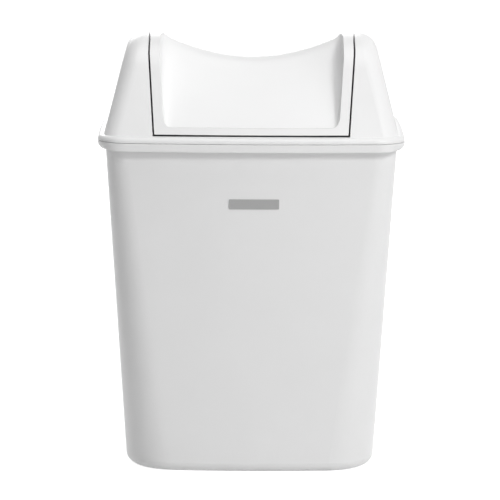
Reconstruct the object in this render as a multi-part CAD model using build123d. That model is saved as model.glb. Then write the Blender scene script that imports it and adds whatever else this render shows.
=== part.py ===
from build123d import *
import math
import os

# Sanitary bin: a tapered bucket, a lift-off hood and a saddle-shaped flap that swings both ways.
# Millimetres, +Z up, front towards -Y, origin at the bottom centre of the bucket's standing ring.

os.makedirs("parts", exist_ok=True)

# Rim outline, seen from above
RIM_WIDTH = 265.0
RIM_DEPTH = 179.8
RIM_CORNER = 27.0
FRONT_BOW = 6.9
SIDE_BOW = 1.7

# Bucket
SEAM_Z = 291.2
NECK_INSET = 6.75
NECK_CORNER = RIM_CORNER - NECK_INSET
BASE_WIDTH = 217.8
BASE_DEPTH = 140.0
BASE_CORNER = 44.5
BASE_EDGE_RADIUS = 9.0
WALL = 2.2
FOOT_BAND = 14.0
FOOT_RECESS = 3.0

# Rolled lip of the bucket
LIP_DROP = 7.5
LIP_ROUND = 6.4
LIP_EDGE = 0.6
LIP_HOLLOW_ROUND = 2.6
LIP_SLOT = 2.0

# Hood
APEX_Z = 377.2
FOOT_HALF_WIDTH = 126.1
FOOT_HALF_DEPTH = 82.6
RIDGE_RADIUS = 53.0
SIDE_LEAN = 14.0
HOOD_EDGE_RADIUS = 16.0
SMALLEST_EDGE_RADIUS = 4.0

# Hood's flange on the lip, and the skirt that centres it in the bucket's mouth
FLANGE_HEIGHT = 5.2
FLANGE_ROUND = 4.0
FLANGE_SET_BACK = 0.15
SEAM_GROOVE_HEIGHT = 0.45
SEAM_GROOVE_DEPTH = 1.3
SHELL_BED = 0.5
SKIRT_GAP = 0.5
SKIRT_WALL = 1.6
SKIRT_DROP = 7.0
SKIRT_START_X = 94.0

# Opening in the hood and the flap that fills it
SILL_Z = 297.0
SILL_GAP = 1.25
GAP = 1.5
FLAP_HALF_WIDTH = 82.4
FLAP_SIDE_SLOPE = 0.0805
FLAP_KNEE_Z = 363.0
RETURN_DEPTH = 7.0
RETURN_WALL = 2.0
EAR_DEPTH = 14.0
LIP_DEPTH = 6.5

# Dish scooped out of the flap, front and back
DISH_HALF_WIDTH = 79.2
DISH_END_HALF_WIDTH = 74.8
DISH_NARROW_Y = 40.0
DISH_LOW_Z = 357.3
DISH_RIDGE_RADIUS = 18.0
DISH_FLOOR_ANGLE = 40.0
DISH_SAG = 19.0
DISH_SAG_FADE = 1.6
DISH_END_Y = 77.5
DISH_END_SAG = 1.0
DISH_CORNER = 7.0
DISH_BLEND_TOP = 8.0
DISH_BLEND_END = 4.5
DISH_GRID = 33
DISH_OVER = 2.0

# Pivots
PIVOT_Z = 362.0
PIN_RADIUS = 3.0
PIN_GRIP = 0.03
PIN_CLEARANCE = 0.06
PIN_HEAD_RADIUS = 5.0
PIN_HEAD = 2.0
PIN_REACH = 5.5
PIN_CHAMFER = 0.5
BOSS_RADIUS = 6.0
BOSS_LENGTH = 6.0
BOSS_HOLE = 14.0
BOSS_RIB = 14.0
EAR_BOSS = 1.5
TAB_RADIUS = 11.0

# Bag ring and the fins that carry it
RING_TOP_Z = 280.0
RING_HEIGHT = 16.0
RING_GAP = 0.5
RING_WALL = 1.8
RING_FLANGE = 8.0
RING_LIP = 5.0
RING_TAB_X = 105.0
RING_TAB_RADIUS = 11.0
RING_TAB_HOLE = 7.0
FIN_REACH = 4.5
FIN_HEIGHT = 18.0
FIN_WALL = 2.0
FINS_LONG_SIDE = 60.0
FINS_SHORT_SIDE = 32.0

# Bare plate on the front
PLATE_WIDTH = 42.8
PLATE_HEIGHT = 8.5
PLATE_Z = 239.0
PLATE_THICK = 0.6
PLATE_CORNER = 0.8
PLATE_CENTRE_X = 2.6

FLANGE_TOP = SEAM_Z + FLANGE_HEIGHT
FLANGE_UNDER = FLANGE_TOP - WALL
NECK_Z = SEAM_Z - LIP_DROP
FLAP_FOOT_Z = SILL_Z + SILL_GAP

# Heights and reaches well outside the part, for solids that only cut or only bound
BELOW_HOOD = 260.0
ABOVE_HOOD = APEX_Z + 20.0
CLEAR = 1.0


def outline(width, depth, corner):
    """Rounded rectangle whose four sides bulge a little; width and depth are taken over the bulges."""
    x = width / 2 - SIDE_BOW
    y = depth / 2 - FRONT_BOW
    with BuildSketch() as sketch:
        with BuildLine():
            ThreePointArc((-x, -y), (0, -depth / 2), (x, -y))
            ThreePointArc((x, -y), (width / 2, 0), (x, y))
            ThreePointArc((x, y), (0, depth / 2), (-x, y))
            ThreePointArc((-x, y), (-width / 2, 0), (-x, -y))
        make_face()
        fillet(sketch.vertices(), corner)
    return sketch.sketch


def rim_outline(inset):
    """The rim's outline, drawn in by inset."""
    return outline(RIM_WIDTH - 2 * inset, RIM_DEPTH - 2 * inset, RIM_CORNER - inset)


def slab(face, low, high):
    """A flat outline made solid between two heights."""
    return extrude(Pos(0, 0, low) * face, high - low)


def round_bottom(solid, radius):
    """Round the edges of the lowest face."""
    return fillet(solid.faces().sort_by(Axis.Z)[0].edges(), radius)


def round_top(solid, radius):
    """Round the edges of the highest face."""
    return fillet(solid.faces().sort_by(Axis.Z)[-1].edges(), radius)


def wall_outline(z, inset=0.0):
    """Section of the bucket's tapered wall at height z."""
    t = z / NECK_Z
    width = BASE_WIDTH + (RIM_WIDTH - 2 * NECK_INSET - BASE_WIDTH) * t
    depth = BASE_DEPTH + (RIM_DEPTH - 2 * NECK_INSET - BASE_DEPTH) * t
    corner = BASE_CORNER + (NECK_CORNER - BASE_CORNER) * t
    return outline(width - 2 * inset, depth - 2 * inset, corner - inset)


def tapered(low, high, inset=0.0):
    """The bucket's tapered form between two heights, drawn in by inset."""
    return loft([Pos(0, 0, low) * wall_outline(low, inset), Pos(0, 0, high) * wall_outline(high, inset)])


def bucket():
    body = round_bottom(tapered(0, SEAM_Z), BASE_EDGE_RADIUS)
    cavity = round_bottom(tapered(WALL, SEAM_Z + CLEAR, WALL), BASE_EDGE_RADIUS - WALL)
    plateau = slab(wall_outline(0, FOOT_BAND - WALL), WALL, FOOT_RECESS + WALL)
    recess = slab(wall_outline(0, FOOT_BAND), -CLEAR, FOOT_RECESS)
    return body + rolled_lip() - (cavity - plateau) - recess + fins()


def rolled_lip():
    """Half-round lip that turns out and under at the bucket's mouth, hollow, with a slot beside the wall."""
    lip = slab(rim_outline(0), NECK_Z, SEAM_Z)
    lip = round_top(round_bottom(lip, LIP_ROUND), LIP_EDGE)
    hollow = round_bottom(slab(rim_outline(WALL), NECK_Z + WALL, SEAM_Z - WALL), LIP_HOLLOW_ROUND)
    slot = slab(rim_outline(NECK_INSET - LIP_SLOT), NECK_Z - CLEAR, SEAM_Z - WALL)
    return lip - hollow - slot


def fins():
    """Eight small upright fins inside the wall, which the bag ring rests on."""
    high = RING_TOP_Z - RING_HEIGHT
    low = high - FIN_HEIGHT
    band = tapered(low, high, WALL / 2) - tapered(low - CLEAR, high + CLEAR, WALL + FIN_REACH)
    found = []
    for side in (-1, 1):
        found.append(band & Pos(side * FINS_LONG_SIDE, 0, high) * Box(FIN_WALL, RIM_DEPTH, 3 * FIN_HEIGHT))
        found.append(band & Pos(0, side * FINS_SHORT_SIDE, high) * Box(RIM_WIDTH, FIN_WALL, 3 * FIN_HEIGHT))
    return found


def front_bow(x):
    """How far the bowed front has fallen back at x, as on the rim."""
    return FRONT_BOW * (x / (RIM_WIDTH / 2)) ** 2


def face_lean(x=0.0):
    """Angle of the leaning faces at x, which rise from the foot line and run tangent into the round ridge."""
    foot = FOOT_HALF_DEPTH - front_bow(x)
    rise = APEX_Z - FLANGE_TOP - RIDGE_RADIUS
    low, high = math.radians(40), math.radians(80)
    for _ in range(40):
        lean = (low + high) / 2
        short = foot * math.sin(lean) - rise * math.cos(lean) < RIDGE_RADIUS
        low, high = (lean, high) if short else (low, lean)
    return lean


def ridge_touch(lean, inset=0.0):
    """Where the leaning face runs into the ridge, with the form drawn in by inset."""
    radius = RIDGE_RADIUS - inset
    return radius * math.sin(lean), APEX_Z - RIDGE_RADIUS + radius * math.cos(lean)


def roof_section(x, inset, low):
    """Cross-section of the roof at x: two leaning faces under a round ridge."""
    lean = face_lean(x)
    touch_y, touch_z = ridge_touch(lean, inset)
    foot_y = touch_y + (touch_z - low) / math.tan(lean)
    with BuildSketch(Plane(origin=(x, 0, 0), x_dir=(0, 1, 0), z_dir=(1, 0, 0))) as section:
        with BuildLine():
            Polyline((touch_y, touch_z), (foot_y, low), (-foot_y, low), (-touch_y, touch_z))
            ThreePointArc((-touch_y, touch_z), (0, APEX_Z - inset), (touch_y, touch_z))
        make_face()
    return section.sketch


def across_rim(section):
    """Loft a cross-section through the two ends and the middle, so that it follows the bow of the rim."""
    return loft([section(x) for x in (-RIM_WIDTH / 2 - 10, 0, RIM_WIDTH / 2 + 10)])


def hood_form(inset, low):
    """Solid roof: two bowed leaning faces over a round ridge, leaning sides, all edges between them rounded."""
    roof = across_rim(lambda x: roof_section(x, inset, low - CLEAR))
    side_tan = math.tan(math.radians(SIDE_LEAN))
    side_inset = inset / math.cos(math.radians(SIDE_LEAN))
    low_x = FOOT_HALF_WIDTH + (FLANGE_TOP - low) * side_tan - side_inset
    high_x = FOOT_HALF_WIDTH - (ABOVE_HOOD - FLANGE_TOP) * side_tan - side_inset
    with BuildSketch(Plane.XZ) as front:
        Polygon((-low_x, low), (low_x, low), (high_x, ABOVE_HOOD), (-high_x, ABOVE_HOOD), align=None)
    roof &= extrude(front.sketch, RIM_DEPTH, both=True)
    sides = [f for f in roof.faces() if abs(f.normal_at().X) > 0.9]
    edges = [e for f in sides for e in f.edges() if e.center().Z > low + CLEAR]
    return fillet(edges, max(HOOD_EDGE_RADIUS - inset, SMALLEST_EDGE_RADIUS))


def flap_side_x(z):
    """Half width of the flap at height z; its sides lean out up to the knee and stand upright above it."""
    return FLAP_HALF_WIDTH + FLAP_SIDE_SLOPE * (min(z, FLAP_KNEE_Z) - SILL_Z)


def between_sides(widen=0.0):
    """Everything between the flap's two side planes, moved out by widen."""
    points = [(flap_side_x(z) + widen, z) for z in (BELOW_HOOD, FLAP_KNEE_Z, ABOVE_HOOD)]
    mirrored = [(-x, z) for x, z in reversed(points)]
    with BuildSketch(Plane.XZ) as shape:
        Polygon(*points, *mirrored, align=None)
    return extrude(shape.sketch, RIM_DEPTH, both=True)


def above(z):
    """Everything above a level plane."""
    return Pos(0, 0, (z + ABOVE_HOOD) / 2) * Box(2 * RIM_WIDTH, 2 * RIM_DEPTH, ABOVE_HOOD - z)


def sill_section(x):
    """Cross-section at x of everything above the two sills, which are cut square to the leaning faces."""
    lean = face_lean(x)
    y = FOOT_HALF_DEPTH - front_bow(x) - (SILL_Z - FLANGE_TOP) / math.tan(lean)
    out = RIM_DEPTH / 2
    outer_z = SILL_Z + (out - y) / math.tan(lean)
    middle_z = SILL_Z - y / math.tan(lean)
    with BuildSketch(Plane(origin=(x, 0, 0), x_dir=(0, 1, 0), z_dir=(1, 0, 0))) as section:
        Polygon((0, middle_z), (out, outer_z), (out, ABOVE_HOOD), (-out, ABOVE_HOOD), (-out, outer_z), align=None)
    return section.sketch


def across(x, radius, length, z=PIVOT_Z):
    """A round bar along X that starts at x and runs away from the middle; negative x mirrors it."""
    direction = 1 if x > 0 else -1
    start = Plane(origin=(x, 0, z), z_dir=(direction, 0, 0))
    return extrude(start * Circle(radius), length)


def hood():
    body = hood_form(0, FLANGE_TOP - SHELL_BED) + hood_flange()
    inside = hood_form(WALL, SEAM_Z - CLEAR)
    inside &= slab(rim_outline(FLANGE_SET_BACK + WALL), SEAM_Z - CLEAR, ABOVE_HOOD)
    deep = hood_form(RETURN_DEPTH, FLANGE_UNDER)
    returns = (between_sides(GAP + RETURN_WALL) & above(SILL_Z)) - deep
    body -= inside - returns
    body += skirt()
    for side in (-1, 1):
        body += hood_boss(side) & hood_form(WALL / 2, FLANGE_TOP)
    body -= between_sides(GAP) & across_rim(sill_section)
    for side in (-1, 1):
        body -= across(side * flap_side_x(PIVOT_Z), PIN_RADIUS + PIN_CLEARANCE, BOSS_HOLE)
    return body


def hood_flange():
    """Rounded flange that rests on the bucket's lip, with a fine groove along the seam."""
    flange = round_top(slab(rim_outline(FLANGE_SET_BACK), SEAM_Z, FLANGE_TOP), FLANGE_ROUND)
    hollow = slab(rim_outline(FLANGE_SET_BACK + WALL), SEAM_Z - CLEAR, FLANGE_UNDER)
    groove = slab(rim_outline(-CLEAR), SEAM_Z - CLEAR, SEAM_Z + SEAM_GROOVE_HEIGHT)
    groove -= slab(rim_outline(SEAM_GROOVE_DEPTH), SEAM_Z - 2 * CLEAR, FLANGE_TOP)
    return flange - round_top(hollow, FLANGE_ROUND - WALL) - groove


def skirt():
    """Skirt inside the bucket's mouth at both ends, hung from a narrow shelf beside the flange."""
    outer = NECK_INSET + WALL + SKIRT_GAP
    inner = outer + SKIRT_WALL
    top = FLANGE_UNDER + SKIRT_WALL
    wall = slab(rim_outline(outer), SEAM_Z - SKIRT_DROP, top)
    shelf = slab(rim_outline(NECK_INSET), FLANGE_UNDER, top)
    hole = slab(rim_outline(inner), SEAM_Z - SKIRT_DROP - CLEAR, FLANGE_TOP)
    middle = Pos(0, 0, SEAM_Z) * Box(2 * SKIRT_START_X, RIM_DEPTH, 4 * SKIRT_DROP)
    return wall + shelf - hole - middle


def hood_boss(side):
    """Boss for one pin in the opening's side wall, with the tab above it and a rib to the hood's end."""
    wall_x = flap_side_x(PIVOT_Z) + GAP
    tab = across(side * wall_x, TAB_RADIUS, RETURN_WALL)
    tab += Pos(side * (wall_x + RETURN_WALL / 2), 0, PIVOT_Z + TAB_RADIUS) * Box(
        RETURN_WALL, 2 * TAB_RADIUS, 2 * TAB_RADIUS)
    end_x = FOOT_HALF_WIDTH - (PIVOT_Z - FLANGE_TOP) * math.tan(math.radians(SIDE_LEAN))
    rib = Pos(side * (wall_x + end_x) / 2, 0, PIVOT_Z + BOSS_RIB / 2) * Box(end_x - wall_x, WALL, BOSS_RIB)
    return tab + across(side * wall_x, BOSS_RADIUS, BOSS_LENGTH) + rib


def floor_height(y):
    """Height of the dish's floor on the middle line, and its slope angle."""
    centre_z = DISH_LOW_Z - DISH_RIDGE_RADIUS
    angle = math.radians(DISH_FLOOR_ANGLE)
    touch = DISH_RIDGE_RADIUS * math.sin(angle)
    if y < touch:
        return centre_z + math.sqrt(DISH_RIDGE_RADIUS ** 2 - y * y), math.asin(y / DISH_RIDGE_RADIUS)
    return centre_z + DISH_RIDGE_RADIUS * math.cos(angle) - (y - touch) * math.tan(angle), angle


def dish_half_width(y):
    """Half width of the dish at y; it narrows from the ridge's end towards the foot."""
    narrow = max(0, y - DISH_NARROW_Y) / (DISH_END_Y - DISH_NARROW_Y)
    return DISH_HALF_WIDTH + (DISH_END_HALF_WIDTH - DISH_HALF_WIDTH) * narrow


def dish_point(x_share, y_share, grow):
    """Point of the dish's surface; the shares run from -1 to 1 over its width and its length."""
    end = DISH_END_Y + grow
    y = (end + DISH_OVER) * abs(math.sin(y_share * math.pi / 2))
    half = dish_half_width(y) + grow
    x = (half + DISH_OVER) * math.sin(x_share * math.pi / 2)
    middle, slope = floor_height(y)
    along = min(y / DISH_END_Y, 1)
    sag = DISH_END_SAG + (DISH_SAG - DISH_END_SAG) * (1 - along) ** DISH_SAG_FADE
    low = middle - grow / math.cos(slope) + sag * (x / DISH_HALF_WIDTH) ** 2
    blend = DISH_BLEND_TOP + (DISH_BLEND_END - DISH_BLEND_TOP) * along + grow
    corner = DISH_CORNER + grow
    from_side, from_end = half - abs(x), end - y
    inside = min(from_side, from_end)
    if max(from_side, from_end) < corner:
        inside = corner - math.hypot(corner - from_side, corner - from_end)
    short = blend - min(max(inside, 0), blend)
    back = y - front_bow(x) * along
    return Vector(x, math.copysign(back, y_share), low + blend - math.sqrt(blend ** 2 - short ** 2))


def dish_plan(grow):
    """Outline of the dish seen from above, with bowed ends and round corners."""
    side_x = DISH_HALF_WIDTH + grow
    end_x = DISH_END_HALF_WIDTH + grow
    end_y = DISH_END_Y + grow
    corner_y = end_y - front_bow(end_x)
    with BuildSketch() as plan:
        with BuildLine():
            for side in (-1, 1):
                Polyline((side * end_x, -corner_y), (side * side_x, -DISH_NARROW_Y),
                         (side * side_x, DISH_NARROW_Y), (side * end_x, corner_y))
                ThreePointArc((-end_x, side * corner_y), (0, side * end_y), (end_x, side * corner_y))
        make_face()
        corners = [v for v in plan.vertices() if abs(v.Y) > DISH_NARROW_Y + CLEAR]
        fillet(corners, DISH_CORNER + grow)
    return plan.sketch


def dish(grow=0.0):
    """The scoop that is taken out of the flap, over its ridge and down both faces."""
    shares = [2 * i / (DISH_GRID - 1) - 1 for i in range(DISH_GRID)]
    grid = [[dish_point(a, b, grow) for a in shares] for b in shares]
    floor = Face.make_surface_from_array_of_points(grid, tol=0.05, max_deg=5)
    block = extrude(floor, ABOVE_HOOD - BELOW_HOOD, dir=(0, 0, 1))
    return block & slab(dish_plan(grow), BELOW_HOOD, ABOVE_HOOD)


def flap():
    seat = between_sides() & above(FLAP_FOOT_Z)
    body = hood_form(0, BELOW_HOOD) & seat
    skin = body - hood_form(WALL, BELOW_HOOD - CLEAR)
    ears = body - hood_form(EAR_DEPTH, BELOW_HOOD - CLEAR) - between_sides(-WALL)
    lip = body - hood_form(LIP_DEPTH, BELOW_HOOD - CLEAR) - above(FLAP_FOOT_Z + WALL)
    result = skin + ears + lip + (body & dish(WALL))
    side_x = flap_side_x(PIVOT_Z)
    for side in (-1, 1):
        tab = across(side * (side_x - WALL), TAB_RADIUS, WALL + CLEAR)
        boss = across(side * (side_x - WALL - EAR_BOSS), BOSS_RADIUS, WALL)
        result += (tab + boss) & seat
    result -= dish()
    for side in (-1, 1):
        result -= across(side * (side_x - 2 * BOSS_LENGTH), PIN_RADIUS - PIN_GRIP, BOSS_HOLE)
    return result


def pivot_pin(side):
    """Stub pin pushed outwards from inside the flap, through its ear, into the hood's boss."""
    head_x = flap_side_x(PIVOT_Z) - WALL - EAR_BOSS
    head = across(side * (head_x - PIN_HEAD), PIN_HEAD_RADIUS, PIN_HEAD)
    head = chamfer(head.edges(), PIN_CHAMFER)
    start_x = head_x - PIN_HEAD / 2
    shank = across(side * start_x, PIN_RADIUS, flap_side_x(PIVOT_Z) + GAP + PIN_REACH - start_x)
    tip = shank.faces().sort_by(Axis.X)[-1 if side > 0 else 0]
    return head + chamfer(tip.edges(), PIN_CHAMFER)


def bag_ring():
    """Frame that hangs on the bucket's fins; the bag's edge is tucked under its turned-in flange."""
    low = RING_TOP_Z - RING_HEIGHT
    out = WALL + RING_GAP
    over = RING_TOP_Z + CLEAR
    band = tapered(low, RING_TOP_Z, out) - tapered(low - CLEAR, RING_TOP_Z - RING_WALL, out + RING_WALL)
    band -= tapered(low - CLEAR, over, out + RING_FLANGE)
    lip = tapered(RING_TOP_Z - RING_LIP, RING_TOP_Z, out + RING_FLANGE - RING_WALL)
    lip -= tapered(RING_TOP_Z - RING_LIP - CLEAR, over, out + RING_FLANGE)
    ring = band + lip
    under = RING_TOP_Z - RING_WALL
    for side in (-1, 1):
        centre = side * RING_TAB_X
        tab = Pos(centre, 0, under) * extrude(Circle(RING_TAB_RADIUS), RING_WALL)
        bridge = Pos(centre + side * RING_TAB_RADIUS / 2, 0, RING_TOP_Z - RING_WALL / 2) * Box(
            RING_TAB_RADIUS, 2 * RING_TAB_RADIUS, RING_WALL)
        hole = Pos(centre, 0, under - CLEAR) * extrude(Circle(RING_TAB_HOLE), RING_WALL + 2 * CLEAR)
        ring = ring + tab + bridge - hole
    return ring


def front_plate():
    """Thin bare plate that follows the bucket's bowed front."""
    window = Pos(PLATE_CENTRE_X, -BASE_DEPTH / 2, PLATE_Z) * Box(PLATE_WIDTH, RIM_DEPTH / 2, PLATE_HEIGHT)
    window = fillet(window.edges().filter_by(Axis.Y), PLATE_CORNER)
    return (tapered(0, NECK_Z, -PLATE_THICK) - tapered(0, NECK_Z)) & window


pieces = {
    "bucket": bucket(),
    "front_plate": front_plate(),
    "bag_ring": bag_ring(),
    "hood": hood(),
    "flap": flap(),
    "pivot_pin_left": pivot_pin(-1),
    "pivot_pin_right": pivot_pin(1),
}

for node, shape in pieces.items():
    export_step(shape, f"parts/{node}.step")
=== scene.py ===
import math

import bpy
from mathutils import Matrix, Vector


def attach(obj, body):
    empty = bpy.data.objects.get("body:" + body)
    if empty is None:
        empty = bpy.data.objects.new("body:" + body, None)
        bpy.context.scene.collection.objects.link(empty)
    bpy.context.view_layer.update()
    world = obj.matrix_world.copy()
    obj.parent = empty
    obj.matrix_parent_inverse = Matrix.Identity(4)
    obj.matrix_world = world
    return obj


bl_info = {
    "name": "Sanitary Bin",
    "version": (1, 0, 0),
    "blender": (4, 5, 0),
    "location": "View3D > Sidebar > Bin",
    "description": "Dresses the packed sanitary bin in its moulded finishes and sets up its studio",
    "category": "Object",
}

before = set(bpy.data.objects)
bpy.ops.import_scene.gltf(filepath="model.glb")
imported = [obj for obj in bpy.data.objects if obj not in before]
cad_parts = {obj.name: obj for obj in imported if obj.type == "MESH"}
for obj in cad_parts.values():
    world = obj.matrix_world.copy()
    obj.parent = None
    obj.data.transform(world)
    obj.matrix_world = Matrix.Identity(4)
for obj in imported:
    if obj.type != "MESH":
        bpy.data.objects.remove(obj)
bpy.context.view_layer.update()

MM = 0.001

# The bucket's rolled lip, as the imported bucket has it: its foot, and the radius of its half-round nose
LIP_FOOT_Z = 283.7 * MM
LIP_ROUND = 6.4 * MM

# How near a point of the bucket must be to the nose's height to lie on it, and the digits that tell two apart
NOSE_SLACK = 0.05 * MM
POINT_DIGITS = 6

# The flat face over that nose: its lower edge, where the part under it has its points, how deep it sinks into
# the nose at its two ends, and the steps down the face and round the edge
FACE_EDGE_HEIGHT = 1.2 * MM
FACE_EDGE_RADIUS = 0.7 * MM
FACE_UNDER_INSETS = (2.4 * MM, 4.2 * MM)
FACE_SINK = 0.15 * MM
FACE_STEPS = 4
EDGE_STEPS = 3

# The point that every lamp faces, then each lamp's place, its width and height, and the setting for its power
LAMP_AIM = (0, 0, 0.2)
LAMPS = {
    "lamp_key": ((1.42, -1.85, 1.9), (0.7, 0.7), "key_power"),
    "lamp_top": ((0, -0.2, 2.3), (1.6, 1.2), "top_power"),
    "lamp_fill": ((2.0, -2.0, 0.5), (1.0, 1.0), "fill_power"),
    "lamp_back": ((-0.4, 2.4, 1.2), (1.2, 1.2), "back_power"),
}

# The camera's sensor in millimetres, and how far the camera sees in metres
SENSOR_WIDTH = 36
CAMERA_REACH = 50

# The floor, and the share of plain white that it gives off where it is seen directly
FLOOR_REACH = 6.0
FLOOR_COLOUR = (0.7, 0.7, 0.7, 1)
FLOOR_ROUGHNESS = 0.9
FLOOR_LIFT = 0.85
WHITE = (1, 1, 1, 1)


# Settings

class BinFinishSettings(bpy.types.PropertyGroup):
    """Colours and surface of the bin's pieces, and the run of the lip's flat faces."""

    shell_colour: bpy.props.FloatVectorProperty(
        name="Shell Colour",
        description="Colour of the white mouldings: bucket, hood, flap and bag ring",
        default=(0.86, 0.86, 0.86), size=3, subtype="COLOR", min=0, max=1)
    shell_roughness: bpy.props.FloatProperty(
        name="Shell Roughness",
        description="Roughness of the moulded shells, lower is glossier",
        default=0.34, min=0, max=1, subtype="FACTOR")
    grain_size: bpy.props.FloatProperty(
        name="Grain Size",
        description="Size of the fine grain that the mould leaves on the plastic",
        default=0.9 * MM, min=0.0001, max=0.02, unit="LENGTH")
    grain_depth: bpy.props.FloatProperty(
        name="Grain Depth",
        description="Depth of the fine grain",
        default=0.010 * MM, min=0, max=0.001, unit="LENGTH")
    sink_size: bpy.props.FloatProperty(
        name="Sink Size",
        description="Size of the faint waves where the plastic shrank as it cooled",
        default=55 * MM, min=0.005, max=0.5, unit="LENGTH")
    sink_depth: bpy.props.FloatProperty(
        name="Sink Depth",
        description="Depth of those faint waves",
        default=0.10 * MM, min=0, max=0.002, unit="LENGTH")
    edge_radius: bpy.props.FloatProperty(
        name="Edge Radius",
        description="Radius that the shading gives to sharp edges",
        default=0.45 * MM, min=0, max=0.005, unit="LENGTH")
    lip_face_end: bpy.props.FloatProperty(
        name="Lip Face End",
        description="Distance from the middle at which the lip's flat face starts to turn round",
        default=117 * MM, min=0.05, max=0.13, unit="LENGTH")
    lip_face_fade: bpy.props.FloatProperty(
        name="Lip Face Fade",
        description="Length over which the flat face blends into the round lip",
        default=13 * MM, min=0.001, max=0.05, unit="LENGTH")
    plate_colour: bpy.props.FloatVectorProperty(
        name="Plate Colour",
        description="Colour of the bare plate on the front",
        default=(0.36, 0.36, 0.36), size=3, subtype="COLOR", min=0, max=1)
    pin_colour: bpy.props.FloatVectorProperty(
        name="Pin Colour",
        description="Colour of the two pivot pins",
        default=(0.78, 0.78, 0.76), size=3, subtype="COLOR", min=0, max=1)


class BinStageSettings(bpy.types.PropertyGroup):
    """Camera, lamps and room light."""

    camera_place: bpy.props.FloatVectorProperty(
        name="Camera Place",
        description="Where the camera stands",
        default=(-0.6 * MM, -2495.5 * MM, 637.4 * MM), size=3, subtype="TRANSLATION", unit="LENGTH")
    camera_pitch: bpy.props.FloatProperty(
        name="Camera Pitch",
        description="How far the camera looks down",
        default=math.radians(10.28), subtype="ANGLE")
    camera_roll: bpy.props.FloatProperty(
        name="Camera Roll",
        description="How far the camera leans to one side",
        default=math.radians(0.31), subtype="ANGLE")
    camera_lens: bpy.props.FloatProperty(
        name="Camera Lens",
        description="Focal length for a 36 mm wide sensor",
        default=206.7, min=10, max=1000, unit="CAMERA")
    key_power: bpy.props.FloatProperty(
        name="Key Power",
        description="Power of the soft lamp high on the right, in front",
        default=32.2, min=0, unit="POWER")
    top_power: bpy.props.FloatProperty(
        name="Top Power",
        description="Power of the soft lamp overhead",
        default=13.2, min=0, unit="POWER")
    fill_power: bpy.props.FloatProperty(
        name="Fill Power",
        description="Power of the soft lamp low on the right, in front",
        default=9.5, min=0, unit="POWER")
    back_power: bpy.props.FloatProperty(
        name="Back Power",
        description="Power of the soft lamp behind, which lights the back and the sides",
        default=14, min=0, unit="POWER")
    room_light: bpy.props.FloatProperty(
        name="Room Light",
        description="Strength of the even light from all round",
        default=0.29, min=0, max=1)


# Materials

def add_node(tree, kind, x, y, label=None, **values):
    """A shader node at a place in the tree; values set its attributes."""
    node = tree.nodes.new(kind)
    node.location = (x, y)
    if label:
        node.label = label
    for name, value in values.items():
        setattr(node, name, value)
    return node


def new_material(name):
    """A node material with a Principled shader on its output; gives the material, its tree and the shader."""
    material = bpy.data.materials.new(name)
    material.use_nodes = True
    tree = material.node_tree
    tree.nodes.clear()
    output = add_node(tree, "ShaderNodeOutputMaterial", 700, 0)
    shader = add_node(tree, "ShaderNodeBsdfPrincipled", 350, 0)
    tree.links.new(shader.outputs["BSDF"], output.inputs["Surface"])
    return material, tree, shader


def noise(tree, size, detail, x, y, label, stretch=None):
    """Noise in real size, read from the piece's own coordinates, which stretch can scale along each axis."""
    place = add_node(tree, "ShaderNodeTexCoord", x - 400, y).outputs["Object"]
    if stretch:
        mapping = add_node(tree, "ShaderNodeMapping", x - 200, y)
        mapping.inputs["Scale"].default_value = stretch
        tree.links.new(place, mapping.inputs["Vector"])
        place = mapping.outputs["Vector"]
    texture = add_node(tree, "ShaderNodeTexNoise", x, y, label)
    texture.inputs["Scale"].default_value = 1 / size
    texture.inputs["Detail"].default_value = detail
    tree.links.new(place, texture.inputs["Vector"])
    return texture.outputs["Fac"]


def bump(tree, height, depth, before, x, y, label):
    """Bump of a real depth, laid over the normal from before."""
    node = add_node(tree, "ShaderNodeBump", x, y, label)
    node.inputs["Strength"].default_value = 1
    node.inputs["Distance"].default_value = depth
    tree.links.new(height, node.inputs["Height"])
    tree.links.new(before, node.inputs["Normal"])
    return node.outputs["Normal"]


def soft_edges(tree, radius, x, y):
    """Rounds the shading at sharp edges, as a mould's small radii do."""
    node = add_node(tree, "ShaderNodeBevel", x, y, "mould radii", samples=6)
    node.inputs["Radius"].default_value = radius
    return node.outputs["Normal"]


def spread(tree, source, low, high, x, y, label):
    """The middle range of a noise, remapped to run from low to high."""
    noise_low, noise_high = 0.3, 0.7
    node = add_node(tree, "ShaderNodeMapRange", x, y, label)
    node.inputs["From Min"].default_value = noise_low
    node.inputs["From Max"].default_value = noise_high
    node.inputs["To Min"].default_value = low
    node.inputs["To Max"].default_value = high
    tree.links.new(source, node.inputs["Value"])
    return node.outputs["Result"]


def tint(tree, factor, dark, light, x, y, label):
    """A colour that runs from dark to light."""
    node = add_node(tree, "ShaderNodeMix", x, y, label, data_type="RGBA")
    node.inputs["A"].default_value = (*dark, 1)
    node.inputs["B"].default_value = (*light, 1)
    tree.links.new(factor, node.inputs["Factor"])
    return node.outputs["Result"]


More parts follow.
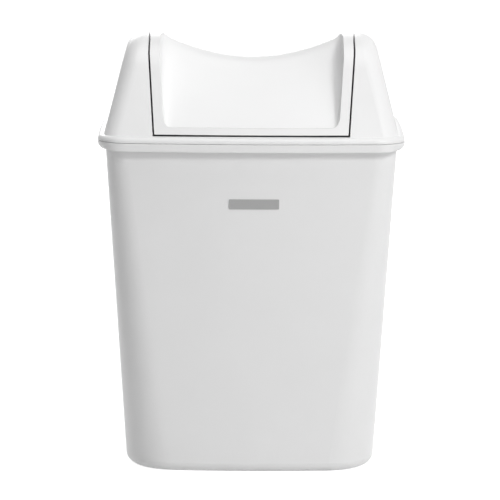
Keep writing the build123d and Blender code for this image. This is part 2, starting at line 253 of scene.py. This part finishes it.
def shell_plastic(settings):
    """White moulded plastic: satin gloss, faint waves from cooling and a fine grain."""
    mottle_size = 6 * MM
    gloss_change = 0.03
    darkest = 0.985
    plastic_ior = 1.49
    material, tree, shader = new_material("shell_plastic")
    colour = Vector(settings.shell_colour)
    waves = noise(tree, settings.sink_size, 2, -700, 200, "cooling waves")
    grain = noise(tree, settings.grain_size, 3, -700, -150, "mould grain")
    mottle = noise(tree, mottle_size, 4, -700, -500, "gloss mottle")
    wave_share = spread(tree, waves, 0, 1, -300, 300, "wave range")
    tone = tint(tree, wave_share, colour * darkest, colour, 0, 300, "faint tone change")
    rough = spread(tree, mottle, settings.shell_roughness - gloss_change,
                   settings.shell_roughness + gloss_change, -300, -500, "roughness range")
    edges = soft_edges(tree, settings.edge_radius, -300, -50)
    wavy = bump(tree, waves, settings.sink_depth, edges, -100, 0, "waves")
    grainy = bump(tree, grain, settings.grain_depth, wavy, 100, -150, "grain")
    tree.links.new(tone, shader.inputs["Base Color"])
    tree.links.new(rough, shader.inputs["Roughness"])
    tree.links.new(grainy, shader.inputs["Normal"])
    shader.inputs["IOR"].default_value = plastic_ior
    return material


def plate_finish(settings):
    """Bare grey plate: satin, with a fine grain along its length."""
    grain_size = 0.25 * MM
    grain_depth = 0.004 * MM
    along_plate = (0.08, 1, 1)
    darkest, lightest = 0.94, 1.06
    smoothest, roughest = 0.38, 0.5
    material, tree, shader = new_material("plate_grey")
    colour = Vector(settings.plate_colour)
    grain = noise(tree, grain_size, 3, -600, 0, "brushed grain", along_plate)
    tone = tint(tree, grain, colour * darkest, colour * lightest, -200, 200, "grain tone")
    rough = spread(tree, grain, smoothest, roughest, -200, -100, "roughness range")
    edges = soft_edges(tree, settings.edge_radius / 2, -150, -250)
    lines = bump(tree, grain, grain_depth, edges, 50, -250, "grain relief")
    tree.links.new(tone, shader.inputs["Base Color"])
    tree.links.new(rough, shader.inputs["Roughness"])
    tree.links.new(lines, shader.inputs["Normal"])
    return material


def pin_plastic(settings):
    """Natural white bearing plastic: waxy, a little matt."""
    cloud_size = 3 * MM
    grain_size = 0.4 * MM
    grain_depth = 0.01 * MM
    darkest = 0.96
    roughness = 0.42
    material, tree, shader = new_material("pin_plastic")
    colour = Vector(settings.pin_colour)
    cloud = noise(tree, cloud_size, 3, -700, 100, "waxy clouding")
    tone = tint(tree, cloud, colour * darkest, colour, -200, 200, "clouded tone")
    grain = noise(tree, grain_size, 2, -700, -250, "fine grain")
    edges = soft_edges(tree, settings.edge_radius, -200, -350)
    relief = bump(tree, grain, grain_depth, edges, 0, -250, "fine relief")
    tree.links.new(tone, shader.inputs["Base Color"])
    tree.links.new(relief, shader.inputs["Normal"])
    shader.inputs["Roughness"].default_value = roughness
    return material


MAKERS = {"shell_plastic": shell_plastic, "plate_grey": plate_finish, "pin_plastic": pin_plastic}


def finish_material(settings, finish):
    """The material of a finish, made the first time it is asked for."""
    return bpy.data.materials.get(finish) or MAKERS[finish](settings)


def finish_nodes(settings, names, finish):
    """Gives carried-over nodes the material of their finish."""
    for name in names:
        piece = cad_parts.get(name)
        if piece is None:
            raise RuntimeError(f"the packed model has no piece named {name}")
        for place in piece.material_slots:
            place.link = "OBJECT"
            place.material = finish_material(settings, finish)


# Flat face of the bucket's lip

def lip_outline(side):
    """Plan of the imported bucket's lip from left to right, on the front (side -1) or the back (side 1)."""
    nose_z = LIP_FOOT_Z + LIP_ROUND
    found = set()
    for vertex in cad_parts["bucket"].data.vertices:
        x, y, z = vertex.co
        if abs(z - nose_z) < NOSE_SLACK and y * side > 0:
            found.add((round(x, POINT_DIGITS), round(y, POINT_DIGITS)))
    return [Vector(point) for point in sorted(found)]


def outward(points, index, side):
    """Unit vector that points out of the plan at one of its points."""
    before = points[max(index - 1, 0)]
    after = points[min(index + 1, len(points) - 1)]
    along = (after - before).normalized()
    return Vector((-along.y, along.x)) * side


def lip_section():
    """Section of the flat face as (inset, height over the lip's foot): down, round its edge and under."""
    face_height = LIP_ROUND - FACE_EDGE_HEIGHT
    face = [(0, LIP_ROUND - face_height * step / FACE_STEPS) for step in range(FACE_STEPS + 1)]
    corner = []
    for step in range(1, EDGE_STEPS + 1):
        angle = math.pi / 2 * step / EDGE_STEPS
        corner.append((FACE_EDGE_RADIUS * (1 - math.cos(angle)),
                       FACE_EDGE_HEIGHT - FACE_EDGE_RADIUS * math.sin(angle)))
    under = [(inset, FACE_EDGE_HEIGHT - FACE_EDGE_RADIUS) for inset in FACE_UNDER_INSETS]
    return face + corner + under


def face_share(settings, x):
    """How far the flat face stands out of the round lip at x: 1 in the middle, eased to 0 at its ends."""
    past_end = (abs(x) - settings.lip_face_end) / settings.lip_face_fade
    share = 1 - min(max(past_end, 0), 1)
    return share * share * (3 - 2 * share)


def lip_face(settings, side, name):
    """The lip's flat front or back face, which sinks into the round lip towards its two ends."""
    plan = lip_outline(side)
    section = lip_section()
    nose_centre = Vector((LIP_ROUND, LIP_ROUND))
    sunk = LIP_ROUND - FACE_SINK
    corners = []
    for index, point in enumerate(plan):
        share = face_share(settings, point.x)
        out = outward(plan, index, side)
        for section_point in section:
            spoke = Vector(section_point) - nose_centre
            inset, height = nose_centre + spoke.normalized() * (sunk + (spoke.length - sunk) * share)
            flat = point - out * inset
            corners.append((flat.x, flat.y, LIP_FOOT_Z + height))
    rows = len(section)
    faces = []
    for column in range(len(plan) - 1):
        for row in range(rows - 1):
            first = column * rows + row
            quad = (first, first + 1, first + rows + 1, first + rows)
            faces.append(quad if side < 0 else quad[::-1])
    mesh = bpy.data.meshes.new(name)
    mesh.from_pydata(corners, [], faces)
    mesh.shade_smooth()
    mesh.materials.append(finish_material(settings, "shell_plastic"))
    piece = bpy.data.objects.new(name, mesh)
    bpy.context.scene.collection.objects.link(piece)
    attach(piece, "bucket")


# Operators

class BIN_OT_bucket(bpy.types.Operator):
    """Finish the bucket in white moulded plastic"""

    bl_idname = "sanitary_bin.bucket"
    bl_label = "Finish Bucket"

    def execute(self, context):
        finish_nodes(context.scene.bin_finish, ["bucket"], "shell_plastic")
        return {"FINISHED"}


class BIN_OT_lip_faces(bpy.types.Operator):
    """Lay the flat faces on the front and the back of the bucket's lip"""

    bl_idname = "sanitary_bin.lip_faces"
    bl_label = "Lay Lip Faces"

    def execute(self, context):
        settings = context.scene.bin_finish
        lip_face(settings, -1, "lip_face_front")
        lip_face(settings, 1, "lip_face_back")
        return {"FINISHED"}


class BIN_OT_front_plate(bpy.types.Operator):
    """Finish the bare plate on the bucket's front"""

    bl_idname = "sanitary_bin.front_plate"
    bl_label = "Finish Front Plate"

    def execute(self, context):
        finish_nodes(context.scene.bin_finish, ["front_plate"], "plate_grey")
        return {"FINISHED"}


class BIN_OT_bag_ring(bpy.types.Operator):
    """Finish the bag ring inside the mouth"""

    bl_idname = "sanitary_bin.bag_ring"
    bl_label = "Finish Bag Ring"

    def execute(self, context):
        finish_nodes(context.scene.bin_finish, ["bag_ring"], "shell_plastic")
        return {"FINISHED"}


class BIN_OT_hood(bpy.types.Operator):
    """Finish the roof-shaped hood"""

    bl_idname = "sanitary_bin.hood"
    bl_label = "Finish Hood"

    def execute(self, context):
        finish_nodes(context.scene.bin_finish, ["hood"], "shell_plastic")
        return {"FINISHED"}


class BIN_OT_flap(bpy.types.Operator):
    """Finish the scooped flap and the two pins it hangs on"""

    bl_idname = "sanitary_bin.flap"
    bl_label = "Finish Flap and Pins"

    def execute(self, context):
        settings = context.scene.bin_finish
        finish_nodes(settings, ["flap"], "shell_plastic")
        finish_nodes(settings, ["pivot_pin_left", "pivot_pin_right"], "pin_plastic")
        return {"FINISHED"}


def soft_lamp(name, place, size, power):
    """A rectangular soft lamp that faces the bin."""
    data = bpy.data.lights.new(name, "AREA")
    data.shape = "RECTANGLE"
    data.size, data.size_y = size
    data.energy = power
    lamp = bpy.data.objects.new(name, data)
    lamp.location = place
    lamp.rotation_euler = (Vector(LAMP_AIM) - Vector(place)).to_track_quat("-Z", "Y").to_euler()
    bpy.context.scene.collection.objects.link(lamp)


def seen_directly(tree, x, y):
    """1 for rays from the camera, in reflections and through clear things, else 0."""
    path = add_node(tree, "ShaderNodeLightPath", x, y)
    both = add_node(tree, "ShaderNodeMath", x + 200, y, operation="MAXIMUM")
    every = add_node(tree, "ShaderNodeMath", x + 400, y, operation="MAXIMUM")
    tree.links.new(path.outputs["Is Camera Ray"], both.inputs[0])
    tree.links.new(path.outputs["Is Glossy Ray"], both.inputs[1])
    tree.links.new(both.outputs["Value"], every.inputs[0])
    tree.links.new(path.outputs["Is Transmission Ray"], every.inputs[1])
    return every.outputs["Value"]


def room_world(settings):
    """Even room light, which looks plain white where it is seen directly."""
    world = bpy.data.worlds.new("studio")
    world.use_nodes = True
    tree = world.node_tree
    tree.nodes.clear()
    output = add_node(tree, "ShaderNodeOutputWorld", 900, 0)
    mix = add_node(tree, "ShaderNodeMixShader", 700, 0)
    even = add_node(tree, "ShaderNodeBackground", 450, 100, "room light")
    even.inputs["Color"].default_value = WHITE
    even.inputs["Strength"].default_value = settings.room_light
    white = add_node(tree, "ShaderNodeBackground", 450, -100, "white background")
    white.inputs["Color"].default_value = WHITE
    tree.links.new(seen_directly(tree, -200, 250), mix.inputs[0])
    tree.links.new(even.outputs["Background"], mix.inputs[1])
    tree.links.new(white.outputs["Background"], mix.inputs[2])
    tree.links.new(mix.outputs["Shader"], output.inputs["Surface"])
    bpy.context.scene.world = world


def pale_floor():
    """A large pale floor that takes the bin's shadow and is otherwise white."""
    mesh = bpy.data.meshes.new("floor")
    corners = [(x * FLOOR_REACH, y * FLOOR_REACH, 0) for x, y in ((-1, -1), (1, -1), (1, 1), (-1, 1))]
    mesh.from_pydata(corners, [], [(0, 1, 2, 3)])
    floor = bpy.data.objects.new("floor", mesh)
    bpy.context.scene.collection.objects.link(floor)
    material, tree, shader = new_material("floor_pale")
    shader.inputs["Base Color"].default_value = FLOOR_COLOUR
    shader.inputs["Roughness"].default_value = FLOOR_ROUGHNESS
    shader.inputs["Emission Color"].default_value = WHITE
    lift = add_node(tree, "ShaderNodeMath", 150, -300, operation="MULTIPLY")
    lift.inputs[1].default_value = FLOOR_LIFT
    tree.links.new(seen_directly(tree, -500, -300), lift.inputs[0])
    tree.links.new(lift.outputs["Value"], shader.inputs["Emission Strength"])
    mesh.materials.append(material)


def aim_camera(settings):
    """The camera at the settings' place, pitch and roll; gives its object."""
    data = bpy.data.cameras.new("camera")
    data.lens = settings.camera_lens
    data.sensor_width = SENSOR_WIDTH
    data.clip_end = CAMERA_REACH
    camera = bpy.data.objects.new("camera", data)
    camera.matrix_world = (Matrix.Translation(settings.camera_place)
                           @ Matrix.Rotation(math.pi / 2 - settings.camera_pitch, 4, "X")
                           @ Matrix.Rotation(settings.camera_roll, 4, "Z"))
    bpy.context.scene.collection.objects.link(camera)
    return camera


class BIN_OT_stage(bpy.types.Operator):
    """Build the room light, the floor, the lamps and the camera"""

    bl_idname = "sanitary_bin.stage"
    bl_label = "Build Stage"

    def execute(self, context):
        settings = context.scene.bin_stage
        room_world(settings)
        pale_floor()
        for name, (place, size, power) in LAMPS.items():
            soft_lamp(name, place, size, getattr(settings, power))
        context.scene.camera = aim_camera(settings)
        context.scene.view_settings.view_transform = "Standard"
        return {"FINISHED"}


class BIN_PT_sidebar(bpy.types.Panel):
    """The bin's steps and settings"""

    bl_idname = "BIN_PT_sidebar"
    bl_label = "Sanitary Bin"
    bl_space_type = "VIEW_3D"
    bl_region_type = "UI"
    bl_category = "Bin"

    def draw(self, context):
        for operator in OPERATORS:
            self.layout.operator(operator.bl_idname)
        for settings in (context.scene.bin_finish, context.scene.bin_stage):
            for name in settings.bl_rna.properties.keys():
                if name not in {"rna_type", "name"}:
                    self.layout.prop(settings, name)


OPERATORS = (BIN_OT_bucket, BIN_OT_lip_faces, BIN_OT_front_plate, BIN_OT_bag_ring, BIN_OT_hood, BIN_OT_flap,
             BIN_OT_stage)
CLASSES = (BinFinishSettings, BinStageSettings, *OPERATORS, BIN_PT_sidebar)


def register():
    """Adds the bin's classes to Blender and its settings to the scene."""
    for cls in CLASSES:
        bpy.utils.register_class(cls)
    bpy.types.Scene.bin_finish = bpy.props.PointerProperty(type=BinFinishSettings)
    bpy.types.Scene.bin_stage = bpy.props.PointerProperty(type=BinStageSettings)


def unregister():
    """Takes the settings and the classes out again."""
    del bpy.types.Scene.bin_stage
    del bpy.types.Scene.bin_finish
    for cls in reversed(CLASSES):
        bpy.utils.unregister_class(cls)


def main():
    """Registers the add-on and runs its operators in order."""
    register()
    for operator in OPERATORS:
        family, name = operator.bl_idname.split(".")
        getattr(getattr(bpy.ops, family), name)()


if __name__ == "__main__":
    main()
